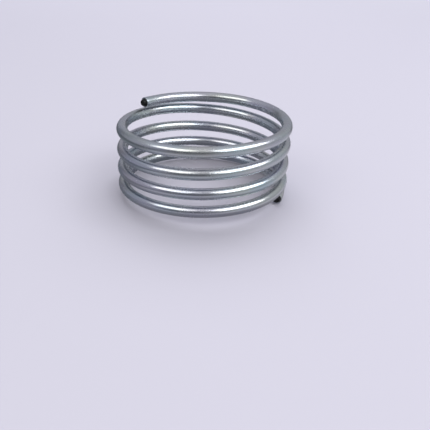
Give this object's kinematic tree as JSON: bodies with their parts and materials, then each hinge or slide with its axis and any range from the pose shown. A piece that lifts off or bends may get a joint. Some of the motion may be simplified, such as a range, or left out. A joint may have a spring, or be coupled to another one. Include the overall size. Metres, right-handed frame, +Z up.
{
  "type": "immersion wort chiller coil",
  "caption": "Bare helical chilling coil of plated steel tube with closed-up end turns and a pull-out rubber plug in each cut end.",
  "frame": {"origin": "on the coil's axis, in the plane that the coil stands on, under the underside of the lower tube end", "axes": "+Z up along the coil's axis, from the lower tube end to the upper one; +X to the right and +Y away from a viewer who sees the upper tube end at the back left"},
  "size_m": [0.1522, 0.1522, 0.0718],
  "materials": {
    "plated_tube": "bright zinc plate over drawn steel tube, slightly brushed along its length, with a faint blue and yellow tint",
    "plug_rubber": "black moulded rubber, satin"
  },
  "bodies": {
    "coil": {"coil_tube": "plated_tube"},
    "upper_plug": {"upper_end_plug": "plug_rubber"},
    "lower_plug": {"lower_end_plug": "plug_rubber"}
  },
  "joints": [
    {"name": "upper_plug_pull", "type": "slide", "parent": "coil", "child": "upper_plug", "axis": [-0.6883, -0.7253, 0.0128], "range_m": [0, 0.012]},
    {"name": "lower_plug_pull", "type": "slide", "parent": "coil", "child": "lower_plug", "axis": [-0.2537, -0.9672, -0.0125], "range_m": [0, 0.012]}
  ]
}
